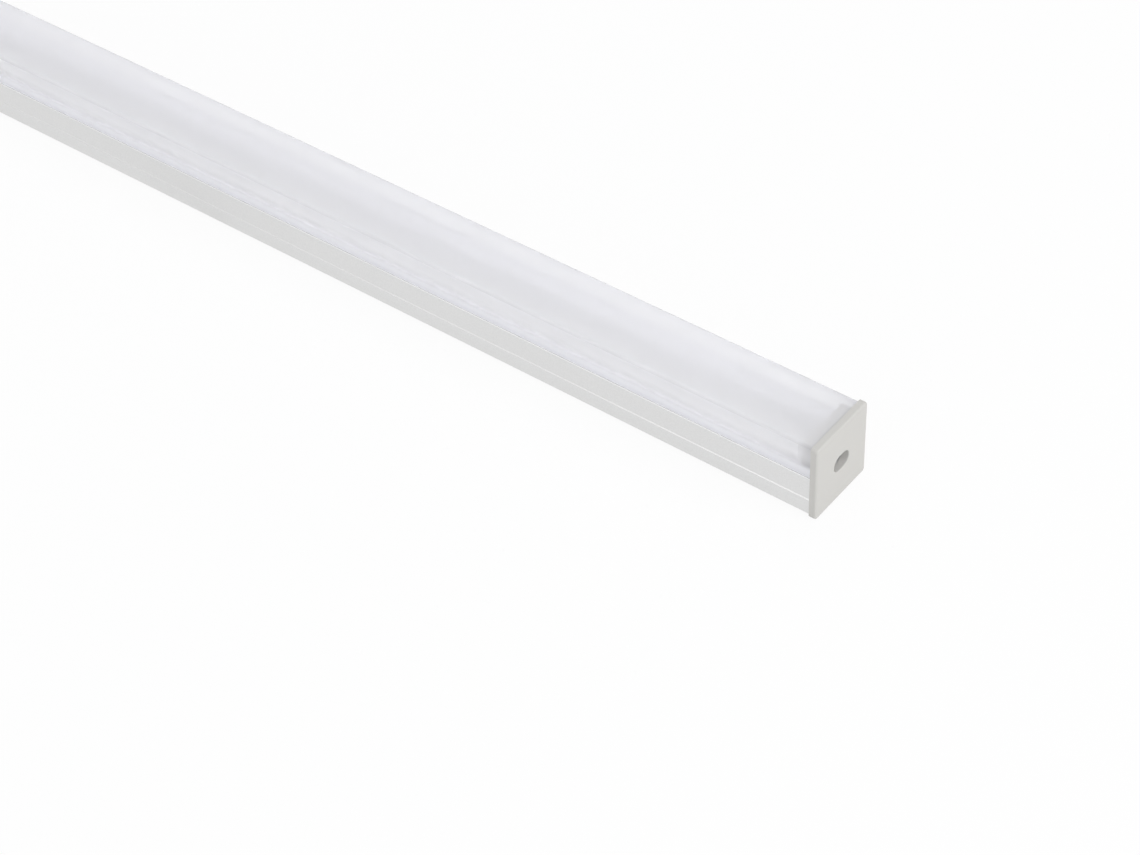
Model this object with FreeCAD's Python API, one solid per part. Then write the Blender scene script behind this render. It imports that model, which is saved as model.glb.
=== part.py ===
import FreeCAD, Part
import math
import os

from FreeCAD import Vector

# Surface-mounted profile for an LED strip, lying on its back with the milky cover up.
# An aluminium extrusion carries the strip on its web, a snap-in cover closes the light
# side, and a moulded cap is pushed into each end.
# X runs along the profile towards the end that takes the cable, Y across it, Z up.
# All sizes are in millimetres.

# Overall sizes
profile_length = 300.0
profile_width = 17.0
profile_height = 18.0      # from the back of the aluminium to the top of the cover
body_height = 9.8          # from the back of the aluminium to the seam under the cover

# Aluminium extrusion
side_wall = 1.0
web_thickness = 1.2
chamber_depth = 3.2        # from the top of the side walls down to the web for the strip
flange_thickness = 1.2
slot_width = 5.3           # gap between the two flanges along the back
groove_height = 4.1        # middle of the line scored along each side, above the back
groove_width = 0.4
groove_depth = 0.2
bead_drop = 1.0            # from the top of the side wall to the start of the snap bead
bead_reach = 0.35
bead_height = 0.7
outer_corner = 0.5
inner_corner = 0.25
edge_break = 0.15

# Milky cover
cover_wall = 1.2
cover_inset = 0.1          # how far its sides stand in from the aluminium's sides
cover_corner = 0.9
cover_inner_corner = 0.4
seam_gap = 0.1             # open line between the aluminium's edge and the cover
shoulder_thickness = 1.0   # the step that joins the cover's sides to its legs
leg_thickness = 1.0
leg_clearance = 0.3        # between the legs' feet and the web
snap_clearance = 0.15      # round the snap bead
hook_reach = 0.3
hook_height = 0.6

# End caps
cap_thickness = 1.6
cap_overhang = 0.3         # how far the plate stands out past the section's sides and top
cap_foot = 0.45            # how far it reaches below the aluminium's back
cap_corner = 0.8
cap_edge_round = 0.45      # rounding of the plate's outer rim
cap_gap = 0.1              # between the plate and the sawn end of the section
fit_clearance = 0.15       # between the cap's insert or tongue and what it slides into
insert_length = 3.0        # the rim that goes inside the cover
insert_wall = 1.0
tongue_length = 7.5        # the tab that goes inside the back channel
tongue_wall = 1.0
tongue_corner = 0.5
lead_in = 0.3              # chamfer at the tip of the tongue
rib_height = 0.1           # crush ribs that take up the play when the cap is pushed in
rib_width = 0.5
rib_setback = 1.0          # from the tip of the insert or tongue to the start of the rib
cable_hole_length = 5.2    # across the profile
cable_hole_width = 3.8
hole_edge_round = 0.15

# Places that follow from the sizes
back = cap_foot            # the plates' lower edges touch the table at Z = 0
half_length = profile_length / 2
half_width = profile_width / 2
inner_half = half_width - side_wall
web_top = body_height - chamber_depth
web_bottom = web_top - web_thickness
cover_half = half_width - cover_inset
cover_inner_half = cover_half - cover_wall
cover_inner_top = profile_height - cover_wall
shoulder_bottom = body_height + seam_gap
shoulder_top = shoulder_bottom + shoulder_thickness
leg_outer = inner_half - bead_reach - snap_clearance
leg_inner = leg_outer - leg_thickness
bead_top = body_height - bead_drop
bead_bottom = bead_top - bead_height
plate_middle = (profile_height + cap_overhang - cap_foot) / 2
same_point = 1e-6          # two ends this close leave no line between them


def mirrored(right_half):
    """Closes a symmetric outline from the corners (y, z, radius) of its +Y half."""
    left_half = [(-y, z, radius) for y, z, radius in reversed(right_half)]
    return right_half + left_half


def section_face(corners):
    """Face in the YZ plane, heights from the back, each corner rounded by its radius."""
    points = [Vector(0, y, back + z) for y, z, radius in corners]
    turns = []
    for index, here in enumerate(points):
        radius = corners[index][2]
        towards_last = (points[index - 1] - here).normalize()
        towards_next = (points[(index + 1) % len(points)] - here).normalize()
        half_angle = towards_last.getAngle(towards_next) / 2
        bisector = (towards_last + towards_next).normalize()
        setback = radius / math.tan(half_angle)
        start = here + towards_last * setback
        middle = here + bisector * (radius / math.sin(half_angle) - radius)
        end = here + towards_next * setback
        turns.append((radius, start, middle, end))
    edges = []
    for index, (radius, start, middle, end) in enumerate(turns):
        last_end = turns[index - 1][3]
        if not start.isEqual(last_end, same_point):
            edges.append(Part.makeLine(last_end, start))
        if radius > 0:
            edges.append(Part.Arc(start, middle, end).toShape())
    return Part.Face(Part.Wire(edges))


def extruded(corners, start_x, length):
    """Solid of one section along X from start_x; a negative length runs towards -X."""
    face = section_face(corners)
    face.translate(Vector(start_x, 0, 0))
    return face.extrude(Vector(length, 0, 0))


def make_extrusion():
    """Aluminium body: strip channel above the web, clip channel with a slot below it."""
    right_half = [
        (inner_half, web_top, inner_corner),
        (inner_half, bead_bottom, 0),
        (inner_half - bead_reach, bead_bottom + bead_reach / 2, edge_break),
        (inner_half - bead_reach, bead_top - bead_reach / 2, edge_break),
        (inner_half, bead_top, 0),
        (inner_half, body_height, edge_break),
        (half_width, body_height, edge_break),
        (half_width, groove_height + groove_width / 2, 0),
        (half_width - groove_depth, groove_height, 0),
        (half_width, groove_height - groove_width / 2, 0),
        (half_width, 0, outer_corner),
        (slot_width / 2, 0, edge_break),
        (slot_width / 2, flange_thickness, edge_break),
        (inner_half, flange_thickness, inner_corner),
        (inner_half, web_bottom, inner_corner),
    ]
    return extruded(mirrored(right_half), -half_length, profile_length)


def make_cover():
    """Milky cover: rounded box section whose hooked legs snap under the wall's beads."""
    leg_foot = web_top + leg_clearance
    hook_top = bead_bottom - snap_clearance
    hook_bottom = hook_top - hook_height
    right_half = [
        (cover_half, profile_height, cover_corner),
        (cover_half, shoulder_bottom, edge_break),
        (leg_outer, shoulder_bottom, 0),
        (leg_outer, hook_top, 0),
        (leg_outer + hook_reach, hook_top, 0),
        (leg_outer, hook_bottom, 0),
        (leg_outer, leg_foot, edge_break),
        (leg_inner, leg_foot, edge_break),
        (leg_inner, shoulder_top, edge_break),
        (cover_inner_half, shoulder_top, edge_break),
        (cover_inner_half, cover_inner_top, cover_inner_corner),
    ]
    return extruded(mirrored(right_half), -half_length, profile_length)


def make_cap_plate():
    """Rounded plate that closes the end, its inner face at X = 0 and facing -X."""
    plate_corners = mirrored([
        (half_width + cap_overhang, profile_height + cap_overhang, cap_corner),
        (half_width + cap_overhang, -cap_foot, cap_corner),
    ])
    plate = extruded(plate_corners, 0, cap_thickness)
    outer_rim = [edge for edge in plate.Edges if edge.BoundBox.XMin > cap_thickness / 2]
    return plate.makeFillet(cap_edge_round, outer_rim)


def make_cap_insert():
    """Rim under the cover that follows its inside, open towards the strip's web."""
    outer_half = cover_inner_half - fit_clearance
    lower_outer_half = leg_inner - fit_clearance
    top = cover_inner_top - fit_clearance
    foot = web_top + fit_clearance
    step = shoulder_top + fit_clearance
    right_half = [
        (outer_half, top, cover_inner_corner),
        (outer_half, step, edge_break),
        (lower_outer_half, step, 0),
        (lower_outer_half, foot, edge_break),
        (lower_outer_half - insert_wall, foot, edge_break),
        (lower_outer_half - insert_wall, step + insert_wall, edge_break),
        (outer_half - insert_wall, step + insert_wall, 0),
        (outer_half - insert_wall, top - insert_wall, edge_break),
    ]
    return extruded(mirrored(right_half), 0, -insert_length - cap_gap)


def make_cap_tongue():
    """Tab of U section that slides into the back channel, behind the two flanges."""
    outer_half = inner_half - fit_clearance
    floor = flange_thickness + fit_clearance
    rim = web_bottom - fit_clearance
    right_half = [
        (outer_half, floor, tongue_corner),
        (outer_half, rim, 0),
        (outer_half - tongue_wall, rim, 0),
        (outer_half - tongue_wall, floor + tongue_wall, edge_break),
    ]
    length = tongue_length + cap_gap
    tongue = extruded(mirrored(right_half), 0, -length)
    half_wall = tongue_wall / 2
    tip_edges = []
    for edge in tongue.Edges:
        middle = edge.CenterOfMass
        at_tip = middle.x < -length + half_wall
        on_floor = middle.z < back + floor + half_wall
        on_side = abs(middle.y) > outer_half - half_wall / 2
        if at_tip and (on_floor or on_side) and edge.BoundBox.XLength < half_wall:
            tip_edges.append(edge)
    return tongue.makeChamfer(lead_in, tip_edges)


def make_crush_ribs():
    """Low ridges along X, one on each side of the insert and one on each side of the tongue."""
    insert_half = cover_inner_half - fit_clearance
    insert_middle = (cover_inner_top + shoulder_top) / 2
    tongue_half = inner_half - fit_clearance
    tongue_middle = (flange_thickness + web_bottom) / 2
    ribs = []
    for half, middle, reach in (
        (insert_half, insert_middle, insert_length),
        (tongue_half, tongue_middle, tongue_length),
    ):
        for side in (1, -1):
            corners = [
                (side * (half - rib_height), middle - rib_width / 2, 0),
                (side * (half + rib_height), middle, 0),
                (side * (half - rib_height), middle + rib_width / 2, 0),
            ]
            ribs.append(extruded(corners, 0, -(reach - rib_setback)))
    return ribs


def make_cable_hole():
    """Obround cutter through the middle of the plate, its rims slightly eased."""
    straight = (cable_hole_length - cable_hole_width) / 2
    radius = cable_hole_width / 2
    middle = plate_middle
    hole_corners = mirrored([
        (straight + radius, middle + radius, radius),
        (straight + radius, middle - radius, radius),
    ])
    return extruded(hole_corners, -cap_gap, cap_thickness + 2 * cap_gap)


def make_cap(with_cable_hole):
    """One moulded cap for the +X end: plate, insert and tongue in one piece."""
    cap = make_cap_plate().fuse([make_cap_insert(), make_cap_tongue()] + make_crush_ribs())
    if with_cable_hole:
        cap = cap.cut(make_cable_hole())
        rim = [
            edge for edge in cap.Edges
            if edge.BoundBox.XMin > cap_thickness - cap_gap
            and abs(edge.CenterOfMass.y) < cable_hole_length
            and abs(edge.CenterOfMass.z - back - plate_middle) < cable_hole_length
            and edge.Length < cable_hole_length * 2
        ]
        cap = cap.makeFillet(hole_edge_round, rim)
    cap = cap.removeSplitter()
    cap.translate(Vector(half_length + cap_gap, 0, 0))
    return cap


def make_blind_cap():
    """The same cap without a hole, turned round for the -X end."""
    cap = make_cap(with_cable_hole=False)
    cap.rotate(Vector(0, 0, 0), Vector(0, 0, 1), 180)
    return cap


nodes = {
    "aluminium_extrusion": make_extrusion(),
    "milky_cover": make_cover(),
    "cable_end_cap": make_cap(with_cable_hole=True),
    "blind_end_cap": make_blind_cap(),
}

os.makedirs("parts", exist_ok=True)
for name, shape in nodes.items():
    shape.exportStep(os.path.join("parts", name + ".step"))
    print(name, "valid", shape.isValid(), "solids", len(shape.Solids), "volume", round(shape.Volume, 1))
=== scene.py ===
import math

import bpy
from mathutils import Matrix, Vector

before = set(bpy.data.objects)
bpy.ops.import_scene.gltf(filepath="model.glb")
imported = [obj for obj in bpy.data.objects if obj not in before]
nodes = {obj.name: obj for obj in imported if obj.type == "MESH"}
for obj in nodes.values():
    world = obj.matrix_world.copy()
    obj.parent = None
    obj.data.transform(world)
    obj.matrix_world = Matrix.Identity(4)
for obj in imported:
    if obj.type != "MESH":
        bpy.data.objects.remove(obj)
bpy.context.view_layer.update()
scene = bpy.context.scene
scene.view_settings.view_transform = "Standard"
scene.cycles.max_bounces = 24
scene.cycles.diffuse_bounces = 12
scene.cycles.transmission_bounces = 24

# The photographer's view.
# A long lens looks down on the end that takes the cable, with the profile running away
# to the upper left and out of the picture.
photo_width_px = 1140
focal_length_px = 2606.1
sensor_width_mm = 36.0
camera_place = Vector((0.34308, -0.31091, 0.36743))
heading = math.radians(129.89)
looking_down = math.radians(43.663)
camera_roll = math.radians(-3.241)
nearest_seen = 0.01

line_of_sight = Vector((
    math.cos(looking_down) * math.cos(heading),
    math.cos(looking_down) * math.sin(heading),
    -math.sin(looking_down),
))
camera_data = bpy.data.cameras.new("photo_camera")
camera_data.sensor_width = sensor_width_mm
camera_data.lens = focal_length_px / photo_width_px * sensor_width_mm
camera_data.clip_start = nearest_seen
camera = bpy.data.objects.new("photo_camera", camera_data)
turn = line_of_sight.to_track_quat("-Z", "Y").to_matrix() @ Matrix.Rotation(camera_roll, 3, "Z")
camera.matrix_world = Matrix.Translation(camera_place) @ turn.to_4x4()
scene.collection.objects.link(camera)
scene.camera = camera


# The studio.
# A white table under three soft lamps, one overhead, a stronger one beyond the cable end
# and a weak one in front, inside a pale room that fills the shadows.
class Socket:
    """An output in a node tree. Python's operators on it add Math nodes."""

    def __init__(self, shader, output):
        self.shader = shader
        self.output = output

    def maths(self, operation, *operands):
        return self.shader.add("ShaderNodeMath", dict(enumerate(operands)), operation=operation)

    def other(self, name):
        """Another output of the same node."""
        return Socket(self.shader, self.output.node.outputs[name])

    def __add__(self, other):
        return self.maths("ADD", self, other)

    def __radd__(self, other):
        return self.maths("ADD", other, self)

    def __sub__(self, other):
        return self.maths("SUBTRACT", self, other)

    def __rsub__(self, other):
        return self.maths("SUBTRACT", other, self)

    def __mul__(self, other):
        return self.maths("MULTIPLY", self, other)

    def __rmul__(self, other):
        return self.maths("MULTIPLY", other, self)

    def __lt__(self, other):
        return self.maths("LESS_THAN", self, other)

    def __gt__(self, other):
        return self.maths("GREATER_THAN", self, other)

    def __abs__(self):
        return self.maths("ABSOLUTE", self)


class Shader:
    """The node tree of a material or of the world, empty to start with."""

    def __init__(self, owner):
        owner.use_nodes = True
        self.tree = owner.node_tree
        self.tree.nodes.clear()

    def add(self, kind, inputs=None, output=0, **settings):
        """Adds a node: its settings first, then its sockets' values or links."""
        node = self.tree.nodes.new(kind)
        for name, value in settings.items():
            setattr(node, name, value)
        for name, value in (inputs or {}).items():
            if isinstance(value, Socket):
                self.tree.links.new(value.output, node.inputs[name])
            else:
                node.inputs[name].default_value = value
        return Socket(self, node.outputs[output]) if len(node.outputs) else None


def seen_directly(shader):
    """1 for what the camera sees straight, in a reflection or through a clear wall."""
    paths = shader.add("ShaderNodeLightPath", output="Is Camera Ray")
    bounced = paths.maths("MAXIMUM", paths.other("Is Glossy Ray"), paths.other("Is Transmission Ray"))
    return paths.maths("MAXIMUM", paths, bounced)


white = (1.0, 1.0, 1.0, 1.0)
room_colour = (0.98, 0.99, 1.0, 1.0)
room_strength = 0.6

world = bpy.data.worlds.new("pale_room")
scene.world = world
room = Shader(world)
filling = room.add("ShaderNodeBackground", {"Color": room_colour, "Strength": room_strength})
backdrop = room.add("ShaderNodeBackground", {"Color": white, "Strength": 1.0})
room_mix = room.add("ShaderNodeMixShader", {0: seen_directly(room), 1: filling, 2: backdrop})
room.add("ShaderNodeOutputWorld", {"Surface": room_mix})

half_table = 3.0
table_colour = (0.9, 0.9, 0.9, 1.0)
table_whitening = 0.91

table_mesh = bpy.data.meshes.new("table")
table_corners = [(-half_table, -half_table, 0), (half_table, -half_table, 0),
                 (half_table, half_table, 0), (-half_table, half_table, 0)]
table_mesh.from_pydata(table_corners, [], [(0, 1, 2, 3)])
table = bpy.data.objects.new("table", table_mesh)
scene.collection.objects.link(table)
table_paint = bpy.data.materials.new("white_table")
shader = Shader(table_paint)
matt = shader.add("ShaderNodeBsdfDiffuse", {"Color": table_colour})
whitener = shader.add("ShaderNodeEmission", {"Color": white, "Strength": 1.0})
table_share = seen_directly(shader) * table_whitening
whitened = shader.add("ShaderNodeMixShader", {0: table_share, 1: matt, 2: whitener})
shader.add("ShaderNodeOutputMaterial", {"Surface": whitened})
table_mesh.materials.append(table_paint)

for name, place, aim, size, watts in (
    ("overhead_lamp", (-0.1, 0.35, 1.2), (0.0, 0.0, 0.0), 1.0, 3.0),
    ("cable_end_lamp", (1.1, 0.1, 0.55), (0.1, 0.0, 0.0), 0.8, 5.8),
    ("front_lamp", (0.05, -1.0, 0.5), (0.05, 0.0, 0.0), 0.8, 2.35),
):
    lamp_data = bpy.data.lights.new(name, "AREA")
    lamp_data.shape = "SQUARE"
    lamp_data.size = size
    lamp_data.energy = watts
    lamp = bpy.data.objects.new(name, lamp_data)
    lamp.location = place
    lamp.rotation_euler = (Vector(aim) - Vector(place)).to_track_quat("-Z", "Y").to_euler()
    scene.collection.objects.link(lamp)


# Aluminium extrusion.
# The body is pressed through a die in one length, blasted and anodised a fine matt silver and
# sawn square, so its faces carry a grain over the die's faint lines along the length. Its top
# edge under the cover's rim is painted lighter, as painted light through the milk.
silver_dark = (0.67, 0.67, 0.668, 1.0)
silver_light = (0.808, 0.808, 0.806, 1.0)
metal_share = 0.8
grain_share = 0.75           # how much of the tone is grain, the rest being tool marks
silver_roughness = 0.47
roughness_spread = 0.1
middle_tone = 0.5
grain_size = 0.00035
die_line_width = 0.00012
die_line_length = 0.06
saw_mark_width = 0.00009
saw_mark_length = 0.012
section_end = 0.14995        # past this the point is on a sawn end
relief_depth = 0.00003
relief_strength = 0.5
end_grain_height = 0.5       # of the blasted grain, on the sawn ends
die_line_height = 0.35       # of the die's lines, against the saw's marks
painted_light_start = 0.01012         # above this lies the edge under the cover's rim, given painted light for the light through the milk
# Painted light: the aluminium's top edge under the cover's rim is given a lighter, less metallic colour
# for the light through the milk.
painted_light_tone = (0.9, 0.9, 0.9, 1.0)
painted_light_metal = 0.35


def place_in_part(shader):
    """The shaded point's place in the part's frame, in metres."""
    return shader.add("ShaderNodeTexCoord", output="Object")


def speckle(shader, place, across, along=None, axis=0, detail=2.0):
    """Random tone from 0 to 1 in grains of one width, drawn out along one axis."""
    stretch = [1.0, 1.0, 1.0]
    stretch[axis] = across / (along or across)
    stretched = shader.add("ShaderNodeMapping", {"Vector": place, "Scale": stretch})
    return shader.add("ShaderNodeTexNoise", {"Vector": stretched, "Scale": 1 / across, "Detail": detail})


def blended(shader, factor, first, second):
    """A colour between two, by factor."""
    return shader.add("ShaderNodeMix", {"Factor": factor, 6: first, 7: second}, 2, data_type="RGBA")


def relief(shader, height, strength, depth):
    """A surface relief of the given depth in metres."""
    return shader.add("ShaderNodeBump", {"Strength": strength, "Distance": depth, "Height": height})


def finish(names, material_name, build):
    """Gives the named nodes one new material, whose surface build returns."""
    material = bpy.data.materials.new(material_name)
    shader = Shader(material)
    shader.add("ShaderNodeOutputMaterial", {"Surface": build(shader)})
    for name in names:
        nodes[name].data.materials.clear()
        nodes[name].data.materials.append(material)


def anodised_silver(shader):
    place = place_in_part(shader)
    x = shader.add("ShaderNodeSeparateXYZ", {0: place})
    grain = speckle(shader, place, grain_size)
    die_lines = speckle(shader, place, die_line_width, die_line_length, axis=0)
    saw_marks = speckle(shader, place, saw_mark_width, saw_mark_length, axis=1)
    on_end = abs(x) > section_end
    # Painted light on the top edge under the cover's rim.
    under_rim_painted_light = x.other("Z") > painted_light_start
    tool_marks = on_end * saw_marks + (1 - on_end) * die_lines
    tone = grain_share * grain + (1 - grain_share) * tool_marks
    grain_height = 1 - (1 - end_grain_height) * on_end
    mark_height = die_line_height + (1 - die_line_height) * on_end
    height = grain_height * grain + mark_height * tool_marks
    silver = blended(shader, tone, silver_dark, silver_light)
    return shader.add("ShaderNodeBsdfPrincipled", {
        "Base Color": blended(shader, under_rim_painted_light, silver, painted_light_tone),
        "Metallic": metal_share + (painted_light_metal - metal_share) * under_rim_painted_light,
        "Roughness": silver_roughness + roughness_spread * (tone - middle_tone),
        "Normal": relief(shader, height, relief_strength, relief_depth),
    })


finish(["aluminium_extrusion"], "anodised_aluminium", anodised_silver)


# Milky cover.
# Opal plastic pressed through a die as one box section and snapped into the aluminium. Its
# skin scatters about half of the light, and its inner faces blur the rest, so that what lies
# close behind them shows and the depth goes soft. The rim along the aluminium and the wall
# in front of the step carry painted shade.
opal_colour = (0.976, 0.974, 1.0, 1.0)
# Painted shade: the bluish grey towards which the rim along the aluminium and the wall in front of the
# step are darkened.
painted_shade_colour = (0.79, 0.795, 0.835, 1.0)
opal_roughness = 0.4
through_share = 0.45         # of the skin that is clear, the rest being milk
glow_share = 0.14            # of the milk that is lit from behind
skin_blur = 0.1
depth_blur = 1.0
skin_bending = 1.04
wall_bending = 1.18
wall_middle = 0.0078         # half way through the side walls, from the part's middle
roof_middle = 0.01785        # half way through the top wall
side_start = 0.0073          # from here outwards lie the side walls and the corners over them
corner_foot = 0.0162         # above this a ray inside that skin has run down through milk
rim_shade_amount = 0.9              # how far the rim along the aluminium goes to the painted shade colour
rim_foot = 0.01045           # below this lie the rim's underside and the edge of the gap
rim_top = 0.0113
rim_blend = 0.0003           # half the height over which its painted shade fades
step_shade_amount = 0.58            # how far the wall in front of the step goes to the painted shade colour
step_top = 0.0115            # below this the section is its thick step and its hidden legs
step_foot = 0.0122           # from here upwards a ray begins to pass over the step
step_head = 0.0135           # above this it clears the step and runs on into the chamber
step_fade = 0.015            # above this the step's painted shade has gone
wall_milk = 0.35             # how much less shows through the upper side walls than the top
wall_start = 0.0136          # from here upwards less shows through
wall_full = 0.0157           # above this the whole of it applies
wall_end = 0.0179            # above this the corner turns into the top
clear_ends = 0.14695         # from here outwards only a part of it applies
clear_ends_share = 0.5
opal_line_width = 0.0006
opal_line_length = 0.12
opal_depth = 0.000006
opal_relief = 0.4


def ramp(shader, value, start, end):
    """Rises smoothly from 0 to 1 as the value goes from start to end."""
    return shader.add("ShaderNodeMapRange", {"Value": value, "From Min": start, "From Max": end},
                      interpolation_type="SMOOTHSTEP")


def opal(shader):
    place = place_in_part(shader)
    x = shader.add("ShaderNodeSeparateXYZ", {0: place})
    y = x.other("Y")
    z = x.other("Z")
    on_length = abs(x) < section_end
    from_inside = shader.add("ShaderNodeNewGeometry", output="Backfacing")
    on_side = abs(y) > side_start
    in_corner = from_inside * on_side * (z > corner_foot)
    near_cap = abs(x) > clear_ends
    above_step = ramp(shader, z, step_foot, step_head)
    on_wall = on_side * (z < wall_end) * ramp(shader, z, wall_start, wall_full)
    on_wall = on_wall * (1 - clear_ends_share * near_cap)
    thin = above_step * (1 - wall_milk * on_wall) * (1 - in_corner) * on_length
    inner_face = (abs(y) < wall_middle) * (z < roof_middle) * (z > step_top) * on_length
    # Painted shade along the rim by the aluminium and on the wall in front of the hidden step.
    above_rim = ramp(shader, z, rim_top - rim_blend, rim_top + rim_blend)
    on_rim = (z > rim_foot) * (1 - above_rim)
    by_step = above_rim * (1 - ramp(shader, z, step_foot, step_fade))
    cover_painted_shade = on_side * (rim_shade_amount * on_rim + step_shade_amount * by_step)
    tone = blended(shader, cover_painted_shade, opal_colour, painted_shade_colour)
    lines = speckle(shader, place, opal_line_width, opal_line_length, axis=0)
    milk = shader.add("ShaderNodeBsdfPrincipled", {
        "Base Color": tone, "Roughness": opal_roughness,
        "Normal": relief(shader, lines, opal_relief, opal_depth),
    })
    lit_from_behind = shader.add("ShaderNodeBsdfTranslucent", {"Color": opal_colour})
    milk = shader.add("ShaderNodeMixShader", {0: glow_share, 1: milk, 2: lit_from_behind})
    clear_skin = shader.add("ShaderNodeBsdfPrincipled", {
        "Base Color": white, "Roughness": skin_blur, "Transmission Weight": 1.0, "IOR": skin_bending,
    })
    clear_wall = shader.add("ShaderNodeBsdfPrincipled", {
        "Base Color": white, "Roughness": depth_blur, "Transmission Weight": 1.0, "IOR": wall_bending,
    })
    skin = shader.add("ShaderNodeMixShader", {0: thin * through_share, 1: milk, 2: clear_skin})
    return shader.add("ShaderNodeMixShader", {0: inner_face, 1: skin, 2: clear_wall})


finish(["milky_cover"], "milky_plastic", opal)


# End caps.
# Light grey plastic from a spark-eroded mould, one with the oval cable hole and one blind.
# Each is pushed in, the rim under the cover and the tongue in the back channel, both of
# which are given a darker tone than the plate as painted shade.
cap_light = (0.583, 0.572, 0.548, 1.0)
cap_dark = (0.563, 0.552, 0.529, 1.0)
# Painted shade: the darker grey of the rim and tongue that sit inside the profile.
shaded_hidden_light = (0.41, 0.403, 0.388, 1.0)
shaded_hidden_dark = (0.39, 0.384, 0.369, 1.0)
plate_start = 0.15005        # past this the point is on the plate, not on its rim or tongue
cap_roughness = 0.5
cap_roughness_spread = 0.12
spark_grain = 0.00022
spark_depth = 0.000015
spark_relief = 0.4
spark_detail = 3.0


def moulded_grey(shader):
    place = place_in_part(shader)
    x = shader.add("ShaderNodeSeparateXYZ", {0: place})
    on_plate = abs(x) > plate_start
    grain = speckle(shader, place, spark_grain, detail=spark_detail)
    plate_tone = blended(shader, grain, cap_dark, cap_light)
    shaded_hidden_tone = blended(shader, grain, shaded_hidden_dark, shaded_hidden_light)
    return shader.add("ShaderNodeBsdfPrincipled", {
        "Base Color": blended(shader, on_plate, shaded_hidden_tone, plate_tone),
        "Roughness": cap_roughness + cap_roughness_spread * (grain - middle_tone),
        "Normal": relief(shader, grain, spark_relief, spark_depth),
    })


finish(["cable_end_cap", "blind_end_cap"], "light_grey_plastic", moulded_grey)
